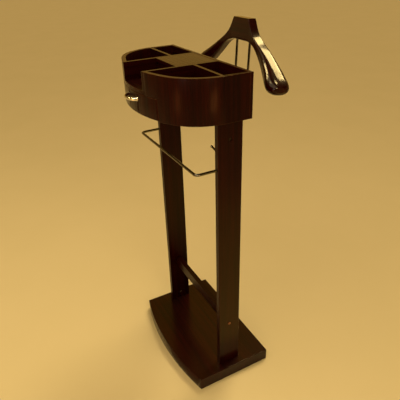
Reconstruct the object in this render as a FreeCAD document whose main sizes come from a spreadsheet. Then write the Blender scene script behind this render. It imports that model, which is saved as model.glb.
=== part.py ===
import FreeCAD, Part
import math
import os
import re

import Sketcher
from FreeCAD import Placement, Rotation, Vector

# Valet stand: a D-shaped tray box with a drawer on two flat posts, a bowed base
# board, a trouser bar in front and a moulded jacket hanger behind.
# Frame: +Z up, +X to the right as seen from the front, -Y to the front.
# The origin lies on the floor, midway between the two posts.

doc = FreeCAD.newDocument("ValetStand")

SIZES = [
    # Base board
    ("base_width", 457), ("base_thickness", 44), ("base_back", 142),
    ("base_front", 128), ("base_bow", 30), ("base_edge_round", 2),
    # Posts and stretcher
    ("post_outer", 201), ("post_thickness", 18), ("post_depth", 76),
    ("post_edge_round", 1.5),
    ("stretcher_low", 212), ("stretcher_height", 37), ("stretcher_thickness", 18),
    # Knock-down fastenings
    ("bolt_radius", 3), ("bolt_head_radius", 5), ("bolt_head_height", 4),
    ("nut_radius", 5), ("nut_length", 12), ("nut_recess", 3),
    ("foot_nut_height", 69), ("foot_counterbore", 9), ("counterbore_radius", 6.5),
    ("box_nut_drop", 56), ("bolt_past_nut", 9),
    ("stretcher_bolt_height", 221), ("stretcher_bolt_length", 55),
    ("stretcher_bolt_depth", 6), ("cap_proud", 1.5),
    ("dowel_radius", 4), ("dowel_length", 34), ("dowel_height", 239), ("dowel_in_post", 13),
    # Trouser bar and tie pegs
    ("bar_radius", 4), ("bar_height", 791.5), ("bar_reach", 63), ("bar_bend", 11),
    ("bar_in_post", 14),
    ("peg_radius", 3), ("peg_tip_radius", 4), ("peg_forward", 21), ("peg_height", 830),
    ("peg_length", 46), ("peg_in_post", 10), ("peg_rise", 11),
    # Tray box: outline, walls and floors
    ("box_low", 932), ("box_height", 118), ("box_half_width", 228.5),
    ("box_front", 186.5), ("box_back", 48), ("front_radius", 368), ("corner_radius", 137),
    ("wall", 12), ("panel_thickness", 9), ("bottom_thickness", 9),
    ("floor_thickness", 10), ("tray_depth", 49),
    ("divider_outer", 74), ("divider_thickness", 9), ("cross_divider_front", 38.5),
    # Lidded compartment
    ("lid_thickness", 9), ("lid_front", 84), ("lid_side_gap", 0.8), ("lid_back_gap", 2.3),
    ("lid_rest_gap", 0.3), ("lid_overhang", 5), ("compartment_wall", 9),
    ("pin_radius", 2), ("pin_clearance", 0.05), ("pin_in_lid", 7), ("pin_in_divider", 6.5),
    ("pin_from_lid_back", 5),
    ("pin_end_gap", 1),
    # Drawer
    ("drawer_opening", 121.5), ("drawer_side_gap", 1.2), ("drawer_top_gap", 1.5),
    ("drawer_bottom_gap", 1), ("drawer_front_thickness", 11.5),
    ("drawer_body_outer", 112.5), ("drawer_board", 8), ("drawer_body_low", 941.7),
    ("drawer_body_height", 40), ("drawer_body_back", 20), ("drawer_panel", 4),
    ("drawer_panel_lift", 2),
    ("guide_gap", 0.6), ("guide_width", 8), ("guide_height", 30), ("guide_front", 140),
    # Drawer handle
    ("handle_half_span", 36), ("handle_reach", 23.5), ("handle_strap", 4.5), ("handle_seat", 2),
    ("handle_height", 11), ("handle_waist", 6), ("handle_foot", 8), ("handle_centre", 972),
    ("handle_screw_radius", 2), ("handle_screw_depth", 5),
    ("handle_screw_head_radius", 3.5), ("handle_screw_head_height", 2),
    # Hanger rods
    ("rod_radius", 3.5), ("rod_spacing", 66), ("rod_height", 968), ("rod_distance", 161),
    ("rod_bend", 22), ("rod_lean", 3.2), ("rod_top", 1110),
    ("rod_thread_length", 10), ("flange_radius", 11), ("flange_thickness", 3),
    ("rod_nut_radius", 7), ("rod_nut_thickness", 6),
]

sheet = doc.addObject("Spreadsheet::Sheet", "Sizes")
for row, (alias, value) in enumerate(SIZES, start=1):
    sheet.set("A%d" % row, alias.replace("_", " "))
    sheet.set("B%d" % row, str(value))
    sheet.setAlias("B%d" % row, alias)
doc.recompute()


def size(alias):
    """The number that a cell of the sheet holds."""
    return float(sheet.get(alias))


def ref(text):
    """An expression with each alias pointed at the sheet."""
    names = dict(SIZES)

    def pointed(word):
        return "Sizes." + word.group() if word.group() in names else word.group()

    return re.sub(r"[a-z_]+", pointed, text)


def bind(item, **properties):
    for name, text in properties.items():
        item.setExpression(name, ref(text))


def put(item, place, rotation=None):
    """Place an object at three expressions, turned by a fixed rotation."""
    if rotation is not None:
        item.Placement = Placement(Vector(), rotation)
    for axis, text in zip("xyz", place):
        item.setExpression(".Placement.Base." + axis, ref(text))
    return item


# Rotations that turn a cylinder's +Z axis along +X, -X, +Y or -Y
ALONG_X = Rotation(Vector(0, 1, 0), 90)
ALONG_MINUS_X = Rotation(Vector(0, 1, 0), -90)
ALONG_Y = Rotation(Vector(1, 0, 0), -90)
ALONG_MINUS_Y = Rotation(Vector(1, 0, 0), 90)


def block(name, low, length):
    """A plain rectangular block from its low corner."""
    item = doc.addObject("Part::Box", name)
    bind(item, Length=length[0], Width=length[1], Height=length[2])
    return put(item, low)


def rod(name, radius, length, place, rotation=None):
    item = doc.addObject("Part::Cylinder", name)
    bind(item, Radius=radius, Height=length)
    return put(item, place, rotation)


def ball(name, radius, place, rotation):
    item = doc.addObject("Part::Sphere", name)
    bind(item, Radius=radius)
    return put(item, place, rotation)


def cut(name, base, tools):
    """One object less a list of others."""
    tool = tools[0] if len(tools) == 1 else fuse(name + "_tools", tools)
    item = doc.addObject("Part::Cut", name)
    item.Base, item.Tool = base, tool
    return item


def fuse(name, shapes):
    item = doc.addObject("Part::MultiFuse", name)
    item.Shapes = shapes
    item.Refine = True
    return item


def common(name, shapes):
    item = doc.addObject("Part::MultiCommon", name)
    item.Shapes = shapes
    return item


def group(name, shapes):
    """Separate identical pieces kept in one node."""
    item = doc.addObject("Part::Compound", name)
    item.Links = shapes
    return item


def mirror(name, source):
    """The same piece on the other side of the stand."""
    item = doc.addObject("Part::Mirroring", name)
    item.Source = source
    item.Base, item.Normal = Vector(0, 0, 0), Vector(1, 0, 0)
    return item


def pair(name, right):
    """A right-hand piece and its mirrored twin, in one node."""
    return group(name, [right, mirror(name + "_left", right)])


def new_sketch(body, name, plane="XY_Plane"):
    sketch = body.newObject("Sketcher::SketchObject", name)
    origin = [item for item in body.Origin.OriginFeatures if item.Role == plane][0]
    sketch.AttachmentSupport = [(origin, "")]
    sketch.MapMode = "FlatFace"
    return sketch


def dimension(sketch, name, text, kind, *where):
    """A named driving constraint bound to an expression."""
    index = sketch.addConstraint(Sketcher.Constraint(kind, *where))
    sketch.renameConstraint(index, name)
    sketch.setExpression("Constraints." + name, ref(text))


def pad(body, sketch, name, length):
    item = body.newObject("PartDesign::Pad", name)
    item.Profile = sketch
    bind(item, Length=length)
    doc.recompute()
    return item


def round_edges(body, name, radius, chosen):
    """Fillet the body's edges that the test picks."""
    base = body.Tip
    edges = ["Edge%d" % (n + 1) for n, edge in enumerate(base.Shape.Edges) if chosen(edge)]
    item = body.newObject("PartDesign::Fillet", name)
    item.Base = (base, edges)
    bind(item, Radius=radius)
    doc.recompute()
    return item


def box_outline(sketch, inset):
    """The tray box's D outline, drawn in from its outer face by an inset.

    A straight back and short straight sides run through two corner arcs
    into one wide front arc."""
    gap = sum(size(word) for word in inset.split() if word in dict(SIZES))
    half = size("box_half_width") - gap
    corner = size("corner_radius") - gap
    front = size("front_radius") - gap
    back = size("box_back") - size("panel_thickness")
    centre = size("front_radius") - size("box_front")
    side = half - corner
    corner_y = centre - math.sqrt((front - corner) ** 2 - side ** 2)
    lean = math.atan2(corner_y - centre, side)
    up = Vector(0, 0, 1)
    sketch.addGeometry([
        Part.LineSegment(Vector(-half, back, 0), Vector(half, back, 0)),
        Part.LineSegment(Vector(half, back, 0), Vector(half, corner_y, 0)),
        Part.ArcOfCircle(Part.Circle(Vector(side, corner_y, 0), up, corner), lean, 0),
        Part.ArcOfCircle(Part.Circle(Vector(0, centre, 0), up, front), -math.pi - lean, lean),
        Part.ArcOfCircle(Part.Circle(Vector(-side, corner_y, 0), up, corner), math.pi,
                         math.pi - lean),
        Part.LineSegment(Vector(-half, corner_y, 0), Vector(-half, back, 0)),
    ], False)
    sketch.addConstraint([
        Sketcher.Constraint("Coincident", 0, 2, 1, 1),
        Sketcher.Constraint("Tangent", 1, 2, 2, 2),
        Sketcher.Constraint("Tangent", 2, 1, 3, 2),
        Sketcher.Constraint("Tangent", 3, 1, 4, 2),
        Sketcher.Constraint("Tangent", 4, 1, 5, 1),
        Sketcher.Constraint("Coincident", 5, 2, 0, 1),
        Sketcher.Constraint("Horizontal", 0),
        Sketcher.Constraint("Vertical", 1),
        Sketcher.Constraint("Vertical", 5),
        Sketcher.Constraint("PointOnObject", 3, 3, -2),
        Sketcher.Constraint("Equal", 2, 4),
    ])
    drawn_in = " - ( %s )" % inset
    dimension(sketch, "right_half", "box_half_width" + drawn_in, "DistanceX", -1, 1, 1, 1, half)
    dimension(sketch, "left_half", "box_half_width" + drawn_in, "DistanceX", 5, 2, -1, 1, half)
    dimension(sketch, "back", "box_back - panel_thickness", "DistanceY", -1, 1, 0, 1, back)
    dimension(sketch, "centre", "front_radius - box_front", "DistanceY", -1, 1, 3, 3, centre)
    dimension(sketch, "front", "front_radius" + drawn_in, "Radius", 3, front)
    dimension(sketch, "corner", "corner_radius" + drawn_in, "Radius", 2, corner)


def d_plate(name, inset, low, thickness):
    """A level plate with the box's D outline."""
    body = doc.addObject("PartDesign::Body", name)
    sketch = new_sketch(body, name + "_outline")
    box_outline(sketch, inset)
    pad(body, sketch, name + "_pad", thickness)
    return put(body, ("0", "0", low))


def board(name, low, length):
    """A rectangular board as a body, so that its edges can be rounded."""
    body = doc.addObject("PartDesign::Body", name)
    item = body.newObject("PartDesign::AdditiveBox", name + "_blank")
    bind(item, Length=length[0], Width=length[1], Height=length[2])
    put(body, low)
    doc.recompute()
    return body


def is_upright(edge):
    ends = [vertex.Point for vertex in edge.Vertexes]
    return len(ends) == 2 and abs(ends[0].x - ends[1].x) + abs(ends[0].y - ends[1].y) < 1e-6


# Places that several pieces share, as expressions
POST_MIDDLE = "( post_outer - post_thickness / 2 )"
POST_INNER = "( post_outer - post_thickness )"
TRAY_TOP = "( box_low + box_height - tray_depth )"
FLOOR_LOW = "( box_low + box_height - tray_depth - floor_thickness )"
PANEL_FRONT = "( box_back - panel_thickness )"
BOX_NUT = "( box_low - box_nut_drop )"
BOX_MOUTH_LOW = "( -box_front - wall )"
BOX_DEPTH = "( box_front + wall + box_back )"
# The lid turns on two pins near its back edge, at the middle of its thickness.
PIN_Y = "( box_back - panel_thickness - lid_back_gap - pin_from_lid_back )"
PIN_Z = "( box_low + box_height - lid_thickness / 2 )"
HANDLE_FOOT_X = "( handle_half_span - handle_foot / 2 )"


def make_base():
    """Base board: straight back and sides, a bowed front and eased top edges."""
    half, bow = size("base_width") / 2, size("base_bow")
    back, front = size("base_back"), size("base_front")
    body = doc.addObject("PartDesign::Body", "base_blank")
    sketch = new_sketch(body, "base_outline")
    radius = (half ** 2 + bow ** 2) / (2 * bow)
    sweep = math.asin(half / radius)
    circle = Part.Circle(Vector(0, radius - front - bow, 0), Vector(0, 0, 1), radius)
    sketch.addGeometry([
        Part.LineSegment(Vector(-half, back, 0), Vector(half, back, 0)),
        Part.LineSegment(Vector(half, back, 0), Vector(half, -front, 0)),
        Part.ArcOfCircle(circle, -math.pi / 2 - sweep, -math.pi / 2 + sweep),
        Part.LineSegment(Vector(-half, -front, 0), Vector(-half, back, 0)),
    ], False)
    sketch.addConstraint([
        Sketcher.Constraint("Coincident", 0, 2, 1, 1),
        Sketcher.Constraint("Coincident", 1, 2, 2, 2),
        Sketcher.Constraint("Coincident", 2, 1, 3, 1),
        Sketcher.Constraint("Coincident", 3, 2, 0, 1),
        Sketcher.Constraint("Horizontal", 0),
        Sketcher.Constraint("Vertical", 1),
        Sketcher.Constraint("Vertical", 3),
        Sketcher.Constraint("PointOnObject", 2, 3, -2),
    ])
    dimension(sketch, "right_half", "base_width / 2", "DistanceX", -1, 1, 1, 1, half)
    dimension(sketch, "left_half", "base_width / 2", "DistanceX", 3, 2, -1, 1, half)
    dimension(sketch, "back", "base_back", "DistanceY", -1, 1, 0, 1, back)
    dimension(sketch, "front", "base_front", "DistanceY", 1, 2, -1, 1, front)
    dimension(sketch, "bow", "( ( base_width / 2 ) ^ 2 + base_bow ^ 2 ) / ( 2 * base_bow )",
              "Radius", 2, radius)
    pad(body, sketch, "base_pad", "base_thickness")
    top = size("base_thickness")
    round_edges(body, "base_round", "base_edge_round",
                lambda edge: all(abs(v.Z - top) < 1e-6 for v in edge.Vertexes))
    holes = []
    for side, sign in (("right", ""), ("left", "-")):
        middle = (sign + POST_MIDDLE, "0", "0")
        holes.append(rod("foot_hole_" + side, "bolt_radius", "base_thickness", middle))
        holes.append(rod("foot_counterbore_" + side, "counterbore_radius", "foot_counterbore",
                         middle))
    return cut("base_board", body, holes)


def make_posts():
    """Two upright boards, bored for the bolts, nuts, dowels, bar and pegs."""
    blank = board("post_blank", (POST_INNER, "-post_depth / 2", "base_thickness"),
                  ("post_thickness", "post_depth", "box_low - base_thickness"))
    round_edges(blank, "post_round", "post_edge_round", is_upright)
    holes = [
        rod("foot_bolt_hole", "bolt_radius",
            "foot_nut_height + bolt_past_nut - base_thickness",
            (POST_MIDDLE, "0", "base_thickness")),
        rod("box_bolt_hole", "bolt_radius", "box_nut_drop + bolt_past_nut",
            (POST_MIDDLE, "0", BOX_NUT + " - bolt_past_nut")),
        rod("foot_nut_hole", "nut_radius", "nut_length + nut_recess",
            (POST_INNER, "0", "foot_nut_height"), ALONG_X),
        rod("box_nut_hole", "nut_radius", "nut_length + nut_recess",
            ("post_outer", "0", BOX_NUT), ALONG_MINUS_X),
        rod("stretcher_bolt_hole", "bolt_radius", "post_thickness",
            (POST_INNER, "0", "stretcher_bolt_height"), ALONG_X),
        rod("stretcher_bolt_recess", "bolt_head_radius", "stretcher_bolt_depth",
            ("post_outer", "0", "stretcher_bolt_height"), ALONG_MINUS_X),
        rod("post_dowel_hole", "dowel_radius", "dowel_in_post",
            (POST_INNER, "0", "dowel_height"), ALONG_X),
        rod("bar_hole", "bar_radius", "bar_in_post",
            (POST_MIDDLE, "-post_depth / 2", "bar_height"), ALONG_Y),
        peg_rod("peg_hole", "peg_in_post", "peg_radius"),
    ]
    right = cut("right_post", blank, holes)
    return [right, mirror("left_post", right)]


def along_peg():
    """The rotation that turns +Z to the right tie peg's axis, inwards and rising."""
    return Rotation(Vector(0, 1, 0), size("peg_rise") - 90)


def peg_rod(name, length, reach="0"):
    """A rod on the tie peg's rising axis, from inside the post inwards by a reach."""
    return rod(name, "peg_radius", length + " + " + reach,
               (POST_INNER + " + peg_in_post * cos( peg_rise * 1 deg )", "-peg_forward",
                "peg_height - peg_in_post * sin( peg_rise * 1 deg )"),
               along_peg())


def make_stretcher():
    """Low cross rail between the posts, bored at each end."""
    blank = block("stretcher_blank", ("-" + POST_INNER, "-stretcher_thickness / 2", "stretcher_low"),
                  ("2 * " + POST_INNER, "stretcher_thickness", "stretcher_height"))
    holes = []
    for side, sign, turn in (("right", "", ALONG_MINUS_X), ("left", "-", ALONG_X)):
        end = sign + POST_INNER
        holes.append(rod("stretcher_hole_" + side, "bolt_radius",
                         "stretcher_bolt_length - post_thickness + stretcher_bolt_depth",
                         (end, "0", "stretcher_bolt_height"), turn))
        holes.append(rod("stretcher_dowel_hole_" + side, "dowel_radius",
                         "dowel_length - dowel_in_post", (end, "0", "dowel_height"), turn))
    return cut("stretcher", blank, holes)


def barrel_nut(name, place, rotation):
    """A level round nut inside the right post, with an upright bore for its bolt."""
    blank = rod(name + "_blank", "nut_radius", "nut_length", place, rotation)
    bore = rod(name + "_bore", "bolt_radius", "2 * nut_radius",
               (POST_MIDDLE, "0", place[2] + " - nut_radius"))
    return cut(name, blank, [bore])


def make_fastenings():
    """Bolts with round heads, barrel nuts, caps and dowels, in mirrored pairs."""
    foot_bolt = fuse("foot_bolt", [
        rod("foot_bolt_shank", "bolt_radius",
            "foot_nut_height + bolt_past_nut - foot_counterbore",
            (POST_MIDDLE, "0", "foot_counterbore")),
        rod("foot_bolt_head", "bolt_head_radius", "bolt_head_height",
            (POST_MIDDLE, "0", "foot_counterbore - bolt_head_height"))])
    box_bolt = fuse("box_bolt", [
        rod("box_bolt_shank", "bolt_radius", "bottom_thickness + box_nut_drop + bolt_past_nut",
            (POST_MIDDLE, "0", BOX_NUT + " - bolt_past_nut")),
        rod("box_bolt_head", "bolt_head_radius", "bolt_head_height",
            (POST_MIDDLE, "0", "box_low + bottom_thickness"))])
    foot_nut = barrel_nut("foot_nut", (POST_INNER + " + nut_recess", "0", "foot_nut_height"),
                          ALONG_X)
    box_nut = barrel_nut("box_nut", ("post_outer - nut_recess", "0", BOX_NUT), ALONG_MINUS_X)
    head_seat = "post_outer - stretcher_bolt_depth"
    stretcher_bolt = fuse("stretcher_bolt", [
        rod("stretcher_bolt_shank", "bolt_radius", "stretcher_bolt_length",
            (head_seat, "0", "stretcher_bolt_height"), ALONG_MINUS_X),
        rod("stretcher_bolt_head", "bolt_head_radius", "bolt_head_height",
            (head_seat, "0", "stretcher_bolt_height"), ALONG_X)])
    cap = rod("stretcher_cap", "bolt_head_radius",
              "stretcher_bolt_depth - bolt_head_height + cap_proud",
              (head_seat + " + bolt_head_height", "0", "stretcher_bolt_height"), ALONG_X)
    dowel = rod("stretcher_dowel", "dowel_radius", "dowel_length",
                (POST_INNER + " + dowel_in_post", "0", "dowel_height"), ALONG_MINUS_X)
    return [pair("foot_bolts", foot_bolt), pair("foot_barrel_nuts", foot_nut),
            pair("box_bolts", box_bolt), pair("box_barrel_nuts", box_nut),
            pair("stretcher_bolts", stretcher_bolt), pair("stretcher_bolt_caps", cap),
            pair("stretcher_dowels", dowel)]


def swept_rod(name, radius_name, path):
    """A round rod along a wire of straight runs and tangent arcs."""
    start = path.Edges[0].firstVertex().Point
    direction = path.Edges[0].tangentAt(path.Edges[0].FirstParameter)
    section = Part.Wire(Part.makeCircle(size(radius_name), start, direction))
    item = doc.addObject("Part::Feature", name)
    item.Shape = path.makePipeShell([section], True, True)
    return item


def rounded_path(points, radius):
    """Straight runs through the points, with one arc of this radius at each inner one."""
    edges = []
    start = points[0]
    for before, point, after in zip(points, points[1:], points[2:]):
        back = (before - point).normalize()
        ahead = (after - point).normalize()
        half = back.getAngle(ahead) / 2
        reach = radius / math.tan(half)
        middle = (back + ahead).normalize() * (radius / math.sin(half) - radius)
        arc = Part.Arc(point + back * reach, point + middle, point + ahead * reach)
        edges += [Part.LineSegment(start, point + back * reach).toShape(), arc.toShape()]
        start = point + ahead * reach
    edges.append(Part.LineSegment(start, points[-1]).toShape())
    return Part.Wire(edges)


def make_trouser_bar():
    """One bent rod: an arm from each post's front edge and a long bar between them."""
    x = size("post_outer") - size("post_thickness") / 2
    y = -size("post_depth") / 2
    z = size("bar_height")
    inside, outside = y + size("bar_in_post"), y - size("bar_reach")
    points = [Vector(-x, inside, z), Vector(-x, outside, z), Vector(x, outside, z),
              Vector(x, inside, z)]
    return swept_rod("trouser_bar", "bar_radius", rounded_path(points, size("bar_bend")))


def make_tie_pegs():
    """Short round pegs on the posts' inner faces, rising to a rounded tip."""
    tip = ball("peg_tip", "peg_tip_radius",
               (POST_INNER + " - peg_length * cos( peg_rise * 1 deg )", "-peg_forward",
                "peg_height + peg_length * sin( peg_rise * 1 deg )"), along_peg())
    right = fuse("right_tie_peg", [peg_rod("peg_shank", "peg_in_post", "peg_length"), tip])
    return [right, mirror("left_tie_peg", right)]


def make_box():
    """Tray box: curved walls, back panel, bottom, tray floor and dividers."""
    height = "box_height"
    shell = cut("shell", d_plate("shell_outer", "0", "box_low", height),
                [d_plate("shell_inner", "wall", "box_low", height),
                 block("drawer_mouth", ("-drawer_opening", BOX_MOUTH_LOW, "box_low"),
                       ("2 * drawer_opening", BOX_DEPTH, FLOOR_LOW + " - box_low")),
                 block("tray_mouth", ("-divider_outer", BOX_MOUTH_LOW, "box_low"),
                       ("2 * divider_outer", BOX_DEPTH, height))])
    right_side = block("right_side", ("0", BOX_MOUTH_LOW, "box_low"),
                       ("box_half_width", BOX_DEPTH, height))
    right_wall = common("right_wall", [shell, right_side])
    panel_blank = block("panel_blank", ("-box_half_width", PANEL_FRONT, "box_low"),
                        ("2 * box_half_width", "panel_thickness", height))
    back_panel = cut("back_panel", panel_blank, [
        rod("panel_hole_" + side, "rod_radius", "panel_thickness",
            (sign + "rod_spacing / 2", PANEL_FRONT, "rod_height"), ALONG_Y)
        for side, sign in (("right", ""), ("left", "-"))])
    bottom = cut("box_bottom", d_plate("bottom_blank", "wall", "box_low", "bottom_thickness"), [
        rod("bottom_hole_" + side, "bolt_radius", "bottom_thickness",
            (sign + POST_MIDDLE, "0", "box_low"))
        for side, sign in (("right", ""), ("left", "-"))])
    tongue = common("floor_tongue", [
        d_plate("tongue_blank", "0", FLOOR_LOW, "floor_thickness"),
        block("tongue_limit", ("-divider_outer", BOX_MOUTH_LOW, FLOOR_LOW),
              ("2 * divider_outer", "box_front", "floor_thickness"))])
    tray_floor = fuse("tray_floor", [
        d_plate("floor_blank", "wall", FLOOR_LOW, "floor_thickness"), tongue])
    divider_blank = common("divider_blank", [
        d_plate("divider_plate", "0", TRAY_TOP, "tray_depth"),
        block("divider_limit", ("divider_outer - divider_thickness", BOX_MOUTH_LOW, TRAY_TOP),
              ("divider_thickness", BOX_DEPTH, "tray_depth"))])
    right_divider = cut("right_divider", divider_blank, [
        rod("divider_pin_hole", "pin_radius", "pin_in_divider",
            ("divider_outer - divider_thickness", PIN_Y, PIN_Z), ALONG_X)])
    right_cross = common("right_cross_divider", [
        d_plate("cross_divider_plate", "wall", TRAY_TOP, "tray_depth"),
        block("cross_divider_limit", ("divider_outer", "-cross_divider_front", TRAY_TOP),
              ("box_half_width", "divider_thickness", "tray_depth"))])
    front = block("compartment_front",
                  ("divider_thickness - divider_outer", "lid_overhang - lid_front", TRAY_TOP),
                  ("2 * ( divider_outer - divider_thickness )", "compartment_wall",
                   "tray_depth - lid_thickness - lid_rest_gap"))
    return [right_wall, mirror("left_wall", right_wall), back_panel, bottom, tray_floor,
            right_divider, mirror("left_divider", right_divider),
            right_cross, mirror("left_cross_divider", right_cross), front]


def make_lid():
    """Flush lid over the middle compartment and the two pins that it turns on."""
    half = "( divider_outer - divider_thickness - lid_side_gap )"
    back = "( box_back - panel_thickness - lid_back_gap )"
    blank = block("lid_blank", ("-" + half, "-lid_front", "box_low + box_height - lid_thickness"),
                  ("2 * " + half, "lid_front + " + back, "lid_thickness"))
    bores = [rod("lid_bore_" + side, "pin_radius + pin_clearance", "pin_in_lid + pin_end_gap",
                 (sign + half, PIN_Y, PIN_Z), turn)
             for side, sign, turn in (("right", "", ALONG_MINUS_X), ("left", "-", ALONG_X))]
    pin = rod("lid_pin", "pin_radius", "pin_in_lid + lid_side_gap + pin_in_divider",
              (half + " - pin_in_lid", PIN_Y, PIN_Z), ALONG_X)
    return [cut("lid", blank, bores), pair("lid_pins", pin)]


def make_drawer():
    """Drawer with a curved front that follows the box, and its two guides."""
    front_low = "( box_low + drawer_bottom_gap )"
    front_height = "( " + FLOOR_LOW + " - drawer_top_gap - " + front_low + " )"
    front_half = "( drawer_opening - drawer_side_gap )"
    inner = "( drawer_body_outer - drawer_board )"
    depth = "box_front + wall + drawer_body_back"
    bow = cut("drawer_bow", d_plate("drawer_bow_outer", "0", front_low, front_height),
              [d_plate("drawer_bow_inner", "drawer_front_thickness", front_low, front_height)])
    face = common("drawer_face", [
        bow, block("drawer_face_limit", ("-" + front_half, BOX_MOUTH_LOW, front_low),
                   ("2 * " + front_half, "box_front", front_height))])
    drawer_front = cut("drawer_front", face, [
        rod("handle_hole_" + side, "handle_screw_radius", "4 * drawer_front_thickness",
            (sign + HANDLE_FOOT_X, "-box_front + 3 * drawer_front_thickness", "handle_centre"),
            ALONG_MINUS_Y)
        for side, sign in (("right", ""), ("left", "-"))])
    right_side = common("right_drawer_side", [
        d_plate("drawer_side_plate", "drawer_front_thickness", "drawer_body_low",
                "drawer_body_height"),
        block("drawer_side_limit", (inner, BOX_MOUTH_LOW, "drawer_body_low"),
              ("drawer_board", depth, "drawer_body_height"))])
    bottom = common("drawer_bottom", [
        d_plate("drawer_bottom_plate", "drawer_front_thickness",
                "drawer_body_low + drawer_panel_lift", "drawer_panel"),
        block("drawer_bottom_limit",
              ("-" + inner, BOX_MOUTH_LOW, "drawer_body_low + drawer_panel_lift"),
              ("2 * " + inner, depth + " - drawer_board", "drawer_panel"))])
    back = block("drawer_back", ("-" + inner, "drawer_body_back - drawer_board", "drawer_body_low"),
                 ("2 * " + inner, "drawer_board", "drawer_body_height"))
    guide = block("right_drawer_guide",
                  ("drawer_body_outer + guide_gap", "-guide_front", "box_low + bottom_thickness"),
                  ("guide_width", "guide_front + " + PANEL_FRONT, "guide_height"))
    return [drawer_front, right_side, mirror("left_drawer_side", right_side), bottom, back,
            guide, mirror("left_drawer_guide", guide)]


def make_handle():
    """Bow handle: an arched strap, narrowest at its middle, on two feet.

    The feet are cut to the drawer front's curve."""
    span, reach = size("handle_half_span"), size("handle_reach")
    strap, foot = size("handle_strap"), size("handle_foot")
    body = doc.addObject("PartDesign::Body", "handle_blank")
    sketch = new_sketch(body, "handle_profile")
    arcs = [Part.Arc(Vector(-half, 0, 0), Vector(0, -deep, 0), Vector(half, 0, 0))
            for half, deep in ((span, reach), (span - foot, reach - strap))]
    sketch.addGeometry([
        arcs[0], arcs[1],
        Part.LineSegment(Vector(span - foot, 0, 0), Vector(span, 0, 0)),
        Part.LineSegment(Vector(-span, 0, 0), Vector(foot - span, 0, 0)),
    ], False)
    sketch.addConstraint([
        Sketcher.Constraint("Coincident", 0, 2, 2, 2),
        Sketcher.Constraint("Coincident", 1, 2, 2, 1),
        Sketcher.Constraint("Coincident", 0, 1, 3, 1),
        Sketcher.Constraint("Coincident", 1, 1, 3, 2),
        Sketcher.Constraint("PointOnObject", 0, 1, -1),
        Sketcher.Constraint("PointOnObject", 0, 2, -1),
        Sketcher.Constraint("PointOnObject", 1, 1, -1),
        Sketcher.Constraint("PointOnObject", 1, 2, -1),
        Sketcher.Constraint("PointOnObject", 0, 3, -2),
        Sketcher.Constraint("PointOnObject", 1, 3, -2),
    ])
    radius = "( ( %s ) ^ 2 + ( %s ) ^ 2 ) / ( 2 * ( %s ) )"
    for index, half, deep in ((0, "handle_half_span", "handle_reach"),
                              (1, "handle_half_span - handle_foot",
                               "handle_reach - handle_strap")):
        arc = sketch.Geometry[index]
        dimension(sketch, "half_%d" % index, half, "DistanceX", -1, 1, index, 2, arc.EndPoint.x)
        dimension(sketch, "bow_%d" % index, radius % (half, deep, deep), "Radius", index,
                  arc.Radius)
    pad(body, sketch, "handle_pad", "handle_height")
    put(body, ("0", "handle_seat - box_front", "handle_centre - handle_height / 2"))
    outline = d_plate("handle_seat_curve", "0", "box_low", "box_height")
    waist_drop = "( ( handle_height - handle_waist ) / 2 )"
    waist_radius = "( ( handle_half_span ^ 2 + %s ^ 2 ) / ( 2 * %s ) )" % (waist_drop, waist_drop)
    strap_blank = body
    for level, sign in (("upper", "+"), ("lower", "-")):
        hollow = rod("handle_waist_" + level, waist_radius, "2 * handle_reach",
                     ("0", "handle_seat - box_front", "handle_centre %s ( handle_waist / 2 + %s )"
                      % (sign, waist_radius)), ALONG_MINUS_Y)
        strap_blank = cut("handle_less_" + level, strap_blank, [hollow])
    holes = [rod("handle_bore_" + side, "handle_screw_radius",
                 "handle_screw_depth + drawer_front_thickness",
                 (sign + HANDLE_FOOT_X, "drawer_front_thickness - box_front", "handle_centre"),
                 ALONG_MINUS_Y)
             for side, sign in (("right", ""), ("left", "-"))]
    handle = cut("drawer_handle", strap_blank, [outline] + holes)
    seat = "( drawer_front_thickness - box_front + handle_seat )"
    screw = fuse("handle_screw", [
        rod("handle_screw_shank", "handle_screw_radius",
            "handle_screw_depth + drawer_front_thickness",
            (HANDLE_FOOT_X, seat, "handle_centre"), ALONG_MINUS_Y),
        rod("handle_screw_head", "handle_screw_head_radius", "handle_screw_head_height",
            (HANDLE_FOOT_X, seat, "handle_centre"), ALONG_Y)])
    return [handle, pair("handle_screws", screw)]


def make_hanger_rods():
    """Two bent rods from the back panel, with flanges, nuts and a slight backward lean."""
    x, z = size("rod_spacing") / 2, size("rod_height")
    start = size("box_back") - size("panel_thickness") - size("rod_thread_length")
    y = size("rod_distance")
    top = size("rod_top")
    lean = math.tan(math.radians(size("rod_lean"))) * (top - z)
    points = [Vector(x, start, z), Vector(x, y, z), Vector(x, y + lean, top)]
    right = swept_rod("right_hanger_rod", "rod_radius", rounded_path(points, size("rod_bend")))
    flange = cut("flange", rod("flange_disc", "flange_radius", "flange_thickness",
                               ("rod_spacing / 2", "box_back", "rod_height"), ALONG_Y),
                 [rod("flange_bore", "rod_radius", "flange_thickness",
                      ("rod_spacing / 2", "box_back", "rod_height"), ALONG_Y)])
    nut_blank = doc.addObject("Part::Prism", "rod_nut_blank")
    nut_blank.Polygon = 6
    bind(nut_blank, Circumradius="rod_nut_radius", Height="rod_nut_thickness")
    put(nut_blank, ("rod_spacing / 2", PANEL_FRONT, "rod_height"), ALONG_MINUS_Y)
    nut = cut("rod_nut", nut_blank, [
        rod("rod_nut_bore", "rod_radius", "rod_nut_thickness",
            ("rod_spacing / 2", PANEL_FRONT, "rod_height"), ALONG_MINUS_Y)])
    return [right, mirror("left_hanger_rod", right), pair("rod_flanges", flange),
            pair("rod_nuts", nut)]


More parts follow.
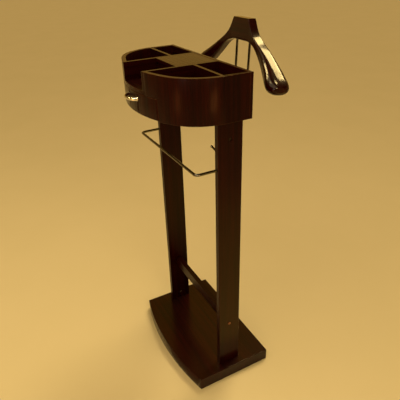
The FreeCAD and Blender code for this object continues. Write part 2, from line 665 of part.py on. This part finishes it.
# Sections of the hanger's right arm from the neck to the tip, in millimetres: distance out, depth of
# the section's middle, width, top, bottom, turn about the vertical in degrees, and the share of each
# half side that the rounded corners take up.
HANGER_SECTIONS = [
    (37, 166, 27, 1142.5, 1082.5, 0, 0.18),
    (46, 166, 27, 1126.5, 1080.5, 0, 0.18),
    (57, 165.5, 27, 1109.5, 1077.5, -1, 0.22),
    (73, 165, 28, 1094.5, 1070.5, -3, 0.3),
    (93, 164, 30, 1081.5, 1055, -7, 0.42),
    (118, 162.5, 35, 1067.5, 1031.5, -12, 0.56),
    (148, 158.5, 44, 1049.5, 1003, -18, 0.7),
    (176, 152.5, 54, 1033, 981, -22, 0.82),
    (197, 147, 60, 1019, 972, -24, 0.9),
    (211, 143.5, 57, 1009.5, 971.5, -25, 0.94),
    (221, 141, 44, 1001.5, 975, -25, 0.94),
    (227, 139.5, 23, 995.5, 981.5, -25, 0.94),
]
# A section's corners in order, as the side and the level of each
CORNERS = [(1, 1), (-1, 1), (-1, -1), (1, -1)]
# How far a Bezier arc's inner poles stand from its ends, as a share of the corner's size
ARC_PULL = 4 / 3 * (math.sqrt(2) - 1)


def hanger_section(out, depth, width, top, bottom, turn, rounding):
    """A closed section across the hanger: an upright box with rounded corners, turned."""
    turn = math.radians(turn)
    across = Vector(-math.sin(turn), math.cos(turn), 0)
    up = Vector(0, 0, 1)
    middle = Vector(out, depth, (top + bottom) / 2)
    half_width = width / 2
    half_height = (top - bottom) / 2

    def corner_poles(side, level):
        """The poles of one corner's arc, in the order that the outline runs."""
        wide = across * side * half_width
        high = up * level * half_height
        level_end = wide * (1 - rounding) + high
        upright_end = wide + high * (1 - rounding)
        poles = [level_end, level_end + wide * rounding * ARC_PULL,
                 upright_end + high * rounding * ARC_PULL, upright_end]
        if side == level:
            poles.reverse()
        return [middle + pole for pole in poles]

    corners = [corner_poles(*corner) for corner in CORNERS]
    edges = []
    for here, after in zip(corners, corners[1:] + corners[:1]):
        curve = Part.BezierCurve()
        curve.setPoles(here)
        edges += [curve.toShape(), Part.LineSegment(here[-1], after[0]).toShape()]
    return Part.Wire(edges)


def make_hanger(rods):
    """Moulded wooden hanger: two broad drooping arms on a flared neck, bored for the rods.

    It leans back with the rods."""
    neck_half = HANGER_SECTIONS[0][0]
    sections = [hanger_section(*row) for row in HANGER_SECTIONS]
    right = Part.makeLoft(sections, True, False)
    left = right.mirror(Vector(0, 0, 0), Vector(1, 0, 0))
    neck = Part.Face(sections[0]).extrude(Vector(-2 * neck_half, 0, 0))
    whole = neck.fuse([right, left])
    pivot = Vector(0, HANGER_SECTIONS[0][1], HANGER_SECTIONS[0][4])
    whole.rotate(pivot, Vector(1, 0, 0), -size("rod_lean"))
    doc.recompute()
    item = doc.addObject("Part::Feature", "hanger_body")
    item.Shape = whole.cut([piece.Shape for piece in rods])
    return item


def finish(pieces):
    """Check every object, then write one file for each sub-part."""
    doc.recompute()
    for item in doc.Objects:
        if "Invalid" in item.State or "Error" in item.State:
            raise RuntimeError(item.Name + " did not compute: " + str(item.State))
    os.makedirs("parts", exist_ok=True)
    for piece in pieces:
        piece.Label = piece.Name
        if piece.Shape.isNull() or not piece.Shape.isValid():
            raise RuntimeError(piece.Name + " has no valid shape")
        piece.Shape.exportStep("parts/%s.step" % piece.Name)
        box = piece.Shape.BoundBox
        print("%-22s %d solids %8.0f mm3  x %.1f..%.1f  y %.1f..%.1f  z %.1f..%.1f" % (
            piece.Name, len(piece.Shape.Solids), piece.Shape.Volume,
            box.XMin, box.XMax, box.YMin, box.YMax, box.ZMin, box.ZMax))


hanger_rods = make_hanger_rods()
finish([make_base()] + make_posts() + [make_stretcher()] + make_fastenings()
       + [make_trouser_bar()] + make_tie_pegs() + make_box() + make_lid() + make_drawer()
       + make_handle() + hanger_rods + [make_hanger(hanger_rods[:2])])
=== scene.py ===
import math

import bmesh
import bpy
from mathutils import Matrix, Vector


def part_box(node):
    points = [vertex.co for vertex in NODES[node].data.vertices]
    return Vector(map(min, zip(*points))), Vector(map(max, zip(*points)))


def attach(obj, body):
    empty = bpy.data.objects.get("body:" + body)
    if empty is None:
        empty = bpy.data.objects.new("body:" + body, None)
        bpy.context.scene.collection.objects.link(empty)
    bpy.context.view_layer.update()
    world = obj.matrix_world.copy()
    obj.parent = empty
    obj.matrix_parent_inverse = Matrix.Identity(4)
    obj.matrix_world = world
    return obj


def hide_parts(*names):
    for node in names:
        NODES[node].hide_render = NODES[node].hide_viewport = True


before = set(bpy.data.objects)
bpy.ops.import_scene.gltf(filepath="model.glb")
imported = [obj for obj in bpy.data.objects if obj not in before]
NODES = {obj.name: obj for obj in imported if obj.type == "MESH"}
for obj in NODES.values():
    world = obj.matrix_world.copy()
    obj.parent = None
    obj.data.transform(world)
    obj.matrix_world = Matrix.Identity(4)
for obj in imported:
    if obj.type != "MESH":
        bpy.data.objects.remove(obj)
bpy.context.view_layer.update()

# Looks of the valet stand: dark stained wood under gloss lacquer, bright plated rods and handle,
# the small fittings, a pale floor, soft studio light and the camera.
# Metres, in the CAD frame: +Z up, +X to the right as seen from the front, -Y to the front.
# Colours are linear red, green and blue.


# ---------------------------------------------------------------- node helpers

# The Mix node's sockets have the same names for numbers and colours, so they go by their places
MIX_SHARE, MIX_FIRST, MIX_SECOND, MIX_COLOUR = 0, 6, 7, 2


def feed(tree, made, inputs):
    """Link each of a node's given inputs to a socket, or set it to a value."""
    for key, value in inputs.items():
        if isinstance(value, bpy.types.NodeSocket):
            tree.links.new(value, made.inputs[key])
        else:
            made.inputs[key].default_value = value


def node(tree, kind, inputs=None, out=0, **settings):
    """Add a shader node with its settings and inputs, and return one of its outputs."""
    made = tree.nodes.new("ShaderNode" + kind)
    for key, value in settings.items():
        setattr(made, key, value)
    feed(tree, made, inputs or {})
    return made.outputs[out]


def new_material(name):
    """A material with a bare Principled shader: the material, its node tree and the shader."""
    material = bpy.data.materials.new(name)
    material.use_nodes = True
    tree = material.node_tree
    tree.nodes.clear()
    shader = tree.nodes.new("ShaderNodeBsdfPrincipled")
    output = tree.nodes.new("ShaderNodeOutputMaterial")
    tree.links.new(shader.outputs["BSDF"], output.inputs["Surface"])
    return material, tree, shader


def object_place(tree):
    """The object's own coordinates, in metres."""
    return node(tree, "TexCoord", out="Object")


def math_node(tree, operation, first, second):
    """One sum or product of two numbers."""
    return node(tree, "Math", {0: first, 1: second}, operation=operation)


def vector_math(tree, operation, first, second):
    """One sum or product of two vectors, axis by axis."""
    return node(tree, "VectorMath", {0: first, 1: second}, operation=operation)


def mix(tree, share, first, second):
    """Mix two colours by a share."""
    return node(tree, "Mix", {MIX_SHARE: share, MIX_FIRST: first, MIX_SECOND: second},
                out=MIX_COLOUR, data_type="RGBA")


def ramp(tree, value, low, high, to_low=0.0, to_high=1.0):
    """Stretch a value's range low..high to to_low..to_high, clamped."""
    return node(tree, "MapRange", {"Value": value, "From Min": low, "From Max": high,
                                   "To Min": to_low, "To Max": to_high})


def noise(tree, place, scale=1.0, detail=2.0, rough=0.5, distortion=0.0):
    """Fractal noise with scale features per unit of place."""
    return node(tree, "TexNoise", {"Vector": place, "Scale": scale, "Detail": detail,
                                   "Roughness": rough, "Distortion": distortion})


def bump(tree, height, strength, distance):
    """A surface direction tilted by a height of up to distance."""
    return node(tree, "Bump", {"Height": height, "Strength": strength, "Distance": distance})


# ------------------------------------------------------------------------ wood

# The order of a place's axes when the grain runs along x, y or z
GRAIN_ORDER = {"x": (0, 1, 2), "y": (1, 0, 2), "z": (2, 0, 1)}

# How far each step of the seed moves the grain, so that no two boards share it
SEED_SHIFT = (0.731, 0.217, 0.413)

# The layers of the grain: features per metre along and across it, and the noise's character
FIGURE = {"along": 1.6, "across": 22, "detail": 4, "rough": 0.55, "distortion": 0.8}
STREAKS = {"along": 2.2, "across": 130, "detail": 3, "rough": 0.6, "distortion": 0.4}
FIBRES = {"along": 9, "across": 520, "detail": 4, "rough": 0.65}
PORES = {"along": 45, "across": 1500, "detail": 2, "rough": 0.5}

# How much of the way from the dark to the light stain each layer covers
FIGURE_SHARE = 0.35
STREAK_SHARE = 0.4
FIBRE_SHARE = 0.25

# How strongly the pores show in the colour, how their stain compares with the dark one, and how
# strongly they show in the surface
PORE_SHARE = 0.75
PORE_TONE = 0.35
PORE_BUMP = 0.25

# The roughness varies with the fibres, from the one share of its value to the other
GLOSSY_FIBRE = 0.85
DULL_FIBRE = 1.25

# The slow waves that lacquer dries in: features per metre, strength and depth
PEEL_SCALE = 38
PEEL_BUMP = 0.05
PEEL_DEPTH = 0.0002

# The wood itself hardly shines: nearly all of the gloss is the coat's
WOOD_SHEEN = 0.03


def grain_place(tree, along, seed):
    """Coordinates whose X runs along the grain and whose Y and Z run across it, in metres."""
    split = tree.nodes.new("ShaderNodeSeparateXYZ")
    feed(tree, split, {0: object_place(tree)})
    parts = [split.outputs[axis] for axis in GRAIN_ORDER[along]]
    joined = node(tree, "CombineXYZ", {"X": parts[0], "Y": parts[1], "Z": parts[2]})
    return vector_math(tree, "ADD", joined, [seed * step for step in SEED_SHIFT])


def stretched(tree, place, along, across):
    """Coordinates counted in features per metre along and across the grain."""
    return vector_math(tree, "MULTIPLY", place, (along, across, across))


def grain_layer(tree, place, along, across, **character):
    """One layer of the grain: noise drawn out along it."""
    return noise(tree, stretched(tree, place, along, across), **character)


def wood_colour(tree, place, fibres, pores, dark, light):
    """The stain: figure, streaks and fibres lighten it, and the pores darken it.

    Each ramp's first two numbers are the levels of its noise between which it takes effect.
    """
    figure = grain_layer(tree, place, **FIGURE)
    streaks = grain_layer(tree, place, **STREAKS)
    broad = math_node(tree, "ADD", ramp(tree, figure, 0.36, 0.66, to_high=FIGURE_SHARE),
                      ramp(tree, streaks, 0.32, 0.68, to_high=STREAK_SHARE))
    lightness = math_node(tree, "ADD", broad, ramp(tree, fibres, 0.3, 0.72, to_high=FIBRE_SHARE))
    stain = mix(tree, lightness, (*dark, 1), (*light, 1))
    pore_share = math_node(tree, "MULTIPLY", ramp(tree, pores, 0.6, 0.7), PORE_SHARE)
    pore_stain = [PORE_TONE * value for value in dark]
    return mix(tree, pore_share, stain, (*pore_stain, 1))


def wood(name, along, seed, dark, light, roughness, coat, coat_ior=1.15, coat_roughness=0.22,
         pore_depth=0.00006):
    """Stained wood with fine fibres and open pores, under a clear coat."""
    material, tree, shader = new_material(name)
    place = grain_place(tree, along, seed)
    fibres = grain_layer(tree, place, **FIBRES)
    pores = grain_layer(tree, place, **PORES)
    peel = noise(tree, place, scale=PEEL_SCALE, detail=1)
    feed(tree, shader, {
        "Base Color": wood_colour(tree, place, fibres, pores, dark, light),
        "Roughness": ramp(tree, fibres, 0.3, 0.7, roughness * GLOSSY_FIBRE,
                          roughness * DULL_FIBRE),
        "Normal": bump(tree, pores, PORE_BUMP, pore_depth),
        "Specular IOR Level": WOOD_SHEEN,
        "Coat Weight": coat,
        "Coat Roughness": coat_roughness,
        "Coat IOR": coat_ior,
        "Coat Normal": bump(tree, peel, PEEL_BUMP, PEEL_DEPTH),
    })
    return material


LACQUER_DARK = (0.0042, 0.0002, 0.0001)
LACQUER_LIGHT = (0.03, 0.0016, 0.0001)
LACQUER_ROUGHNESS = 0.4
GLOSSY_COAT_IOR = 1.25


def lacquered(name, along, seed):
    """The boards: mahogany stain under lacquer."""
    return wood(name, along, seed, LACQUER_DARK, LACQUER_LIGHT, LACQUER_ROUGHNESS, coat=1.0)


def base_lacquer(name, along, seed):
    """The base board, whose lacquer is a little glossier than the boards above it."""
    return wood(name, along, seed, LACQUER_DARK, LACQUER_LIGHT, LACQUER_ROUGHNESS, coat=1.0,
                coat_ior=GLOSSY_COAT_IOR)


def polished(name, along, seed):
    """The moulded hanger, smoother and glossier than the flat boards."""
    return wood(name, along, seed, LACQUER_DARK, LACQUER_LIGHT, roughness=0.3, coat=1.0,
                coat_ior=GLOSSY_COAT_IOR, coat_roughness=0.1, pore_depth=0.00002)


def worn_and_highlit_edge(name, along, seed):
    """The eased edges, lighter than the faces: partly thin stain and rubbed lacquer, partly a
    painted highlight.
    """
    # The edge colours are lighter than the faces' stain: part wear, part painted highlight along
    # the edges
    return wood(name, along, seed, (0.024, 0.0045, 0.001), (0.065, 0.014, 0.003),
                LACQUER_ROUGHNESS, coat=1.0)


def drawer_wood(name, along, seed):
    """The drawer's inside: a lighter stain with a satin finish."""
    return wood(name, along, seed, (0.035, 0.011, 0.006), (0.1, 0.032, 0.015), roughness=0.5,
                coat=0.1)


def raw_wood(name, along, seed):
    """Bare hardwood."""
    return wood(name, along, seed, (0.38, 0.22, 0.1), (0.62, 0.42, 0.23), roughness=0.62,
                coat=0.0)


# ----------------------------------------------------------- metal and plastic

def chrome(name, dark, light):
    """Smooth plating with a faint haze and fine wiping marks."""
    material, tree, shader = new_material(name)
    place = object_place(tree)
    haze = noise(tree, place, scale=140, detail=3)
    marks = noise(tree, stretched(tree, place, 300, 2600), detail=1)
    feed(tree, shader, {
        "Base Color": mix(tree, ramp(tree, haze, 0.35, 0.7), (*dark, 1), (*light, 1)),
        "Metallic": 1.0,
        "Roughness": ramp(tree, haze, 0.3, 0.75, 0.05, 0.14),
        "Normal": bump(tree, marks, 0.05, 0.00003),
    })
    return material


def rod_chrome():
    """The rods' plating, kept dark because it mirrors a dim room in the photograph."""
    return chrome("rod_chrome", (0.1, 0.092, 0.08), (0.15, 0.14, 0.12))


def handle_chrome():
    """The handle's plating, brighter than the rods'."""
    return chrome("handle_chrome", (0.66, 0.65, 0.63), (0.78, 0.77, 0.75))


def plated_steel(name, dark, light):
    """Plated steel: a dull sheen with blotches of the plating."""
    material, tree, shader = new_material(name)
    place = object_place(tree)
    blotches = noise(tree, place, scale=420, detail=4, rough=0.6)
    grit = noise(tree, place, scale=2600, detail=2)
    feed(tree, shader, {
        "Base Color": mix(tree, ramp(tree, blotches, 0.35, 0.65), (*dark, 1), (*light, 1)),
        "Metallic": 1.0,
        "Roughness": ramp(tree, blotches, 0.3, 0.7, 0.28, 0.48),
        "Normal": bump(tree, grit, 0.2, 0.00004),
    })
    return material


def zinc_steel():
    """Pale zinc plating, for bolts, screws, pins and nuts."""
    return plated_steel("zinc_steel", (0.42, 0.43, 0.42), (0.66, 0.65, 0.6))


def recess_shaded_steel():
    """The box's barrel nuts, plated near black as painted shade for the holes that they sit in."""
    return plated_steel("recess_shaded_steel", (0.02, 0.016, 0.012), (0.05, 0.04, 0.03))


def cap_plastic():
    """Red-brown moulded plastic with a fine matt texture."""
    material, tree, shader = new_material("cap_plastic")
    place = object_place(tree)
    cloud = noise(tree, place, scale=600, detail=3)
    grit = noise(tree, place, scale=5200, detail=2)
    feed(tree, shader, {
        "Base Color": mix(tree, ramp(tree, cloud, 0.35, 0.65), (0.13, 0.014, 0.006, 1),
                          (0.18, 0.024, 0.011, 1)),
        "Roughness": ramp(tree, cloud, 0.3, 0.7, 0.3, 0.42),
        "Normal": bump(tree, grit, 0.25, 0.00003),
    })
    return material


# ---------------------------------------------------- finishes of the CAD nodes

# The wooden nodes of each finish and the way that their grain runs
LACQUERED_GRAIN = {
    "base_board": "x", "left_post": "z", "right_post": "z", "stretcher": "x",
    "left_wall": "z", "right_wall": "z", "back_panel": "x", "box_bottom": "x",
    "tray_floor": "x", "left_divider": "y", "right_divider": "y", "left_cross_divider": "x",
    "right_cross_divider": "x", "compartment_front": "x", "lid": "x", "drawer_front": "z",
    "hanger_body": "x",
}
SPECIAL_COATINGS = {"base_board": base_lacquer, "hanger_body": polished}
DRAWER_GRAIN = {"left_drawer_side": "y", "right_drawer_side": "y", "drawer_back": "x",
                "drawer_bottom": "x"}
RAW_GRAIN = {"left_drawer_guide": "y", "right_drawer_guide": "y", "stretcher_dowels": "x"}

# The first seed of the drawer's boards and of the bare ones, past the lacquered boards' seeds
DRAWER_SEED = 30
RAW_SEED = 40

CHROME_NODES = ["trouser_bar", "left_tie_peg", "right_tie_peg", "left_hanger_rod",
                "right_hanger_rod", "rod_flanges"]
ZINC_NODES = ["foot_bolts", "foot_barrel_nuts", "box_bolts", "stretcher_bolts", "lid_pins",
              "handle_screws", "rod_nuts"]


def paint(piece, *materials):
    """Give a piece these materials and no others."""
    piece.data.materials.clear()
    for material in materials:
        piece.data.materials.append(material)


def finish_wood():
    """Each board has a grain of its own, and each lacquered one also a lighter edge, part wear and
    part painted highlight.
    """
    for seed, (name, along) in enumerate(LACQUERED_GRAIN.items()):
        coating = SPECIAL_COATINGS.get(name, lacquered)
        paint(NODES[name], coating("lacquer_" + name, along, seed),
              worn_and_highlit_edge("edge_" + name, along, seed))
    for seed, (name, along) in enumerate(DRAWER_GRAIN.items(), start=DRAWER_SEED):
        paint(NODES[name], drawer_wood("stained_" + name, along, seed))
    for seed, (name, along) in enumerate(RAW_GRAIN.items(), start=RAW_SEED):
        paint(NODES[name], raw_wood("raw_" + name, along, seed))


def finish_fittings():
    """The rods, pegs and flanges, the bolts and nuts, and the plastic caps."""
    plating, zinc = rod_chrome(), zinc_steel()
    for name in CHROME_NODES:
        paint(NODES[name], plating)
    for name in ZINC_NODES:
        paint(NODES[name], zinc)
    paint(NODES["stretcher_bolt_caps"], cap_plastic())
    # The box's barrel nuts get near-black plating: painted shade of their recessed holes
    paint(NODES["box_barrel_nuts"], recess_shaded_steel())


# ----------------------------------------------------------------- eased edges

EDGE_ANGLE = math.radians(35)
EDGE_SEGMENTS = 3
WELD_DISTANCE = 1e-6

# A piece's slots for its eased edges: the lighter edge's material (wear and painted highlight), or
# whatever the faces have
WEAR_AND_HIGHLIGHT_SLOT = 1
FACE_SLOT = -1

# How wide the eased edges of each lacquered board are, and those of the flanges
EDGE_WIDTHS = {
    "base_board": 0.0016, "left_post": 0.0008, "right_post": 0.0008, "stretcher": 0.0012,
    "left_wall": 0.0009, "right_wall": 0.0009, "back_panel": 0.0009, "tray_floor": 0.0007,
    "left_divider": 0.0009, "right_divider": 0.0009, "left_cross_divider": 0.0009,
    "right_cross_divider": 0.0009, "compartment_front": 0.0007, "lid": 0.0009,
    "drawer_front": 0.0012,
}
FLANGE_EDGE_WIDTH = 0.0006


def ease_edges(piece, width, edge_slot):
    """Round a node's sharp edges, so that they catch the light as real ones do."""
    weld = piece.modifiers.new("weld", "WELD")
    weld.merge_threshold = WELD_DISTANCE
    bevel = piece.modifiers.new("eased_edges", "BEVEL")
    bevel.width = width
    bevel.segments = EDGE_SEGMENTS
    bevel.limit_method = "ANGLE"
    bevel.angle_limit = EDGE_ANGLE
    bevel.harden_normals = True
    bevel.material = edge_slot


def ease_all():
    """Ease the lacquered boards that show and the rods' flanges."""
    for name, width in EDGE_WIDTHS.items():
        ease_edges(NODES[name], width, WEAR_AND_HIGHLIGHT_SLOT)
    ease_edges(NODES["rod_flanges"], FLANGE_EDGE_WIDTH, FACE_SLOT)


# --------------------------------------------------------------- drawer handle

# Half the distance between the tips of the two feet, how far the bow stands out, how wide each
# foot is and how thick the strap is in the middle
HANDLE_HALF_SPAN = 0.036
HANDLE_REACH = 0.0235
HANDLE_FOOT = 0.008
HANDLE_STRAP = 0.0045

# The strap's height at its ends and in its middle
HANDLE_END_HEIGHT = 0.011
HANDLE_WAIST = 0.006

# The mesh: rings along the bow, points round each ring, and the section's power, where 1 would be
# an ellipse and less is squarer
HANDLE_STATIONS = 73
HANDLE_RING = 28
HANDLE_SQUARENESS = 0.75

# The plane that the feet stand on and the height of the strap's middle, from the CAD handle
HANDLE_LOW, HANDLE_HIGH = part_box("drawer_handle")
HANDLE_BACK_Y = HANDLE_LOW.y + HANDLE_REACH
HANDLE_MIDDLE_Z = (HANDLE_LOW.z + HANDLE_HIGH.z) / 2


def bow_point(half_span, reach, share):
    """A point on the bow's arc from one end (0) to the other (1), with its middle at -reach."""
    radius = (half_span ** 2 + reach ** 2) / (2 * reach)
    half_turn = math.asin(half_span / radius)
    angle = (2 * share - 1) * half_turn
    return Vector((radius * math.sin(angle), radius - reach - radius * math.cos(angle), 0))


def signed_power(value, power):
    """A value's size raised to a power, with the value's own sign."""
    return math.copysign(abs(value) ** power, value)


def handle_ring(mesh, share):
    """The points round the strap at one share of its length."""
    outer = bow_point(HANDLE_HALF_SPAN, HANDLE_REACH, share)
    inner = bow_point(HANDLE_HALF_SPAN - HANDLE_FOOT, HANDLE_REACH - HANDLE_STRAP, share)
    middle, half_depth = (outer + inner) / 2, (outer - inner) / 2
    spread = (middle.x / HANDLE_HALF_SPAN) ** 2
    half_height = (HANDLE_WAIST + (HANDLE_END_HEIGHT - HANDLE_WAIST) * spread) / 2
    ring = []
    for step in range(HANDLE_RING):
        angle = 2 * math.pi * step / HANDLE_RING
        rise = half_height * signed_power(math.sin(angle), HANDLE_SQUARENESS)
        place = middle + half_depth * signed_power(math.cos(angle), HANDLE_SQUARENESS)
        ring.append(mesh.verts.new((place.x, place.y + HANDLE_BACK_Y, HANDLE_MIDDLE_Z + rise)))
    return ring


def handle_mesh():
    """The rings joined into one closed, smooth strap."""
    mesh = bmesh.new()
    rings = [handle_ring(mesh, station / (HANDLE_STATIONS - 1))
             for station in range(HANDLE_STATIONS)]
    for first, second in zip(rings, rings[1:]):
        for step in range(HANDLE_RING):
            following = (step + 1) % HANDLE_RING
            mesh.faces.new((first[step], first[following], second[following], second[step]))
    mesh.faces.new(rings[0])
    mesh.faces.new(rings[-1])
    bmesh.ops.recalc_face_normals(mesh, faces=mesh.faces)
    for face in mesh.faces:
        face.smooth = True
    data = bpy.data.meshes.new("bow_handle")
    mesh.to_mesh(data)
    mesh.free()
    return data


def make_handle():
    """The drawer's bow handle: one smooth strap with a rounded section, narrow in its middle."""
    handle = bpy.data.objects.new("bow_handle", handle_mesh())
    bpy.context.scene.collection.objects.link(handle)
    paint(handle, handle_chrome())
    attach(handle, "drawer")
    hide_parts("drawer_handle")


# ----------------------------------------------------------------------- floor

# The floor reaches this far each way, and lies this far under the base, clear of its underside
FLOOR_HALF = 30
FLOOR_DROP = 0.0003


def floor_paint():
    """Pale matt paint with a faint cloudiness."""
    material, tree, shader = new_material("studio_floor")
    cloud = noise(tree, object_place(tree), scale=2.5, detail=3)
    feed(tree, shader, {
        "Base Color": mix(tree, cloud, (0.78, 0.66, 0.36, 1), (0.83, 0.7, 0.4, 1)),
        "Roughness": 0.85,
        "Specular IOR Level": 0.2,
    })
    return material


def make_floor():
    """A plain pale floor."""
    mesh = bpy.data.meshes.new("studio_floor")
    corners = [(side * FLOOR_HALF, end * FLOOR_HALF, -FLOOR_DROP)
               for side, end in ((-1, -1), (1, -1), (1, 1), (-1, 1))]
    mesh.from_pydata(corners, [], [(0, 1, 2, 3)])
    floor = bpy.data.objects.new("studio_floor", mesh)
    bpy.context.scene.collection.objects.link(floor)
    paint(floor, floor_paint())


# ---------------------------------------------------------------------- lights

WARM = (1.0, 0.78, 0.46)
GOLD = (1.0, 0.74, 0.3)
BRONZE = (1.0, 0.6, 0.03)
AMBER = (1.0, 0.34, 0.08)
WHITE = (1.0, 0.95, 0.9)

# The surround's two colours, and where the one fades into the other: heights on it, as sines of
# the angle above the horizon
GLOW = (0.52, 0.29, 0.06)
DOME = (0.03, 0.02, 0.006)
GLOW_TOP = 0.3
DOME_LOW = 0.6


def area_light(name, place, aim, size, power, colour):
    """A soft box of width by height at a place, turned to an aim and hidden from the camera."""
    data = bpy.data.lights.new(name, "AREA")
    data.shape = "RECTANGLE"
    data.size, data.size_y = size
    data.energy = power
    data.color = colour
    light = bpy.data.objects.new(name, data)
    light.location = place
    light.rotation_euler = (Vector(aim) - Vector(place)).to_track_quat("-Z", "Y").to_euler()
    light.visible_camera = False
    bpy.context.scene.collection.objects.link(light)
    return light


def glint(name, place, aim, size, power, colour):
    """A soft box that shows only in polished surfaces and lights nothing else."""
    area_light(name, place, aim, size, power, colour).visible_diffuse = False


def sun_light(name, towards, strength, spread, colour):
    """An even light from one direction, so that the floor is lit as far as it reaches."""
    data = bpy.data.lights.new(name, "SUN")
    data.energy = strength
    data.angle = spread
    data.color = colour
    light = bpy.data.objects.new(name, data)
    light.rotation_euler = Vector(towards).to_track_quat("-Z", "Y").to_euler()
    light.visible_glossy = False
    bpy.context.scene.collection.objects.link(light)


def make_surround():
    """A studio surround: a pale glow near the horizon that fades into a dim dome."""
    world = bpy.data.worlds.new("studio_surround")
    world.use_nodes = True
    tree = world.node_tree
    direction = node(tree, "TexCoord", out="Generated")
    height = node(tree, "SeparateXYZ", {0: direction}, out="Z")
    share = ramp(tree, height, GLOW_TOP, DOME_LOW)
    feed(tree, tree.nodes["Background"], {"Color": mix(tree, share, (*GLOW, 1), (*DOME, 1))})
    bpy.context.scene.world = world


def make_soft_light():
    """The light that everything gets: a sun from the back left and boxes above and on the right."""
    sun_light("floor_sun", (0.35, -0.6, -1.2), 1.55, math.radians(25), WARM)
    area_light("overhead_box", (0.4, -1.3, 2.6), (0.4, -1.3, 0), (1.8, 1.8), 30, WARM)
    area_light("right_box", (2.6, -0.2, 2.0), (0, 0, 0.7), (0.9, 0.9), 16, WARM)


def make_glints():
    """Each lamp stands where the surface that it is named after mirrors it to the camera."""
    glint("arm_panel", (-0.32, 1.87, 3.45), (0.22, 0.15, 1.05), (0.66, 1.8), 140, GOLD)
    glint("ridge_lamp", (-1.42, -1.18, 3.19), (0.2, 0.13, 1.03), (0.18, 1.0), 40, GOLD)
    glint("tip_lamp_above", (0.3, 0.2, 3.4), (0.22, 0.15, 1.0), (0.3, 0.3), 19, GOLD)
    glint("tip_lamp_front", (1.6, -1.35, 2.43), (0.2, 0.13, 1.0), (0.25, 0.25), 22, GOLD)
    glint("tip_lamp_left", (-0.35, -1.0, 3.3), (0.2, 0.13, 1.0), (0.25, 0.25), 6, GOLD)
    glint("handle_lamp", (1.1, -1.9, 1.6), (0, -0.2, 0.97), (0.4, 0.3), 5, WHITE)
    glint("front_strip", (0.66, -2.08, 0.4), (0.18, -0.13, 0.4), (0.4, 0.75), 4, AMBER)
    glint("side_strip", (2.2, 0.08, 0.4), (0.2, -0.05, 0.4), (0.4, 0.75), 7, AMBER)
    glint("base_panel", (-2.2, 1.17, 2.59), (0, -0.1, 0), (1.5, 1.2), 4, BRONZE)
    glint("post_panel", (0.75, 0.33, 0.02), (0.75, 0.33, 1), (0.9, 0.9), 2, BRONZE)


def make_lights():
    """The soft light, the glints and the surround, and a plain view transform to show them."""
    make_soft_light()
    make_glints()
    make_surround()
    bpy.context.scene.view_settings.view_transform = "Standard"


# ---------------------------------------------------------------------- camera

# The camera looks at a point near the stand's axis from the front right and above, as solved from
# the straight edges in the photograph. Its azimuth is counted from the front towards the right.
CAMERA_AIM = Vector((0.0035, 0.0067, 0.5972))
CAMERA_AZIMUTH = math.radians(62.56)
CAMERA_ELEVATION = math.radians(29.28)
CAMERA_ROLL = math.radians(-1.81)
CAMERA_DISTANCE = 1.4411

# The lens and the sensor's width, in millimetres, and how far the camera sees, in metres
CAMERA_LENS = 39.47
CAMERA_SENSOR = 36
CAMERA_FAR = 100


def make_camera():
    """The camera at the photograph's viewing angle."""
    back = Vector((math.sin(CAMERA_AZIMUTH) * math.cos(CAMERA_ELEVATION),
                   -math.cos(CAMERA_AZIMUTH) * math.cos(CAMERA_ELEVATION),
                   math.sin(CAMERA_ELEVATION)))
    data = bpy.data.cameras.new("camera")
    data.lens = CAMERA_LENS
    data.sensor_width = CAMERA_SENSOR
    data.clip_end = CAMERA_FAR
    camera = bpy.data.objects.new("camera", data)
    turn = (-back).to_track_quat("-Z", "Y").to_matrix().to_4x4()
    camera.matrix_world = (Matrix.Translation(CAMERA_AIM + back * CAMERA_DISTANCE)
                           @ turn @ Matrix.Rotation(CAMERA_ROLL, 4, "Z"))
    bpy.context.scene.collection.objects.link(camera)
    bpy.context.scene.camera = camera


finish_wood()
finish_fittings()
ease_all()
make_handle()
make_floor()
make_lights()
make_camera()
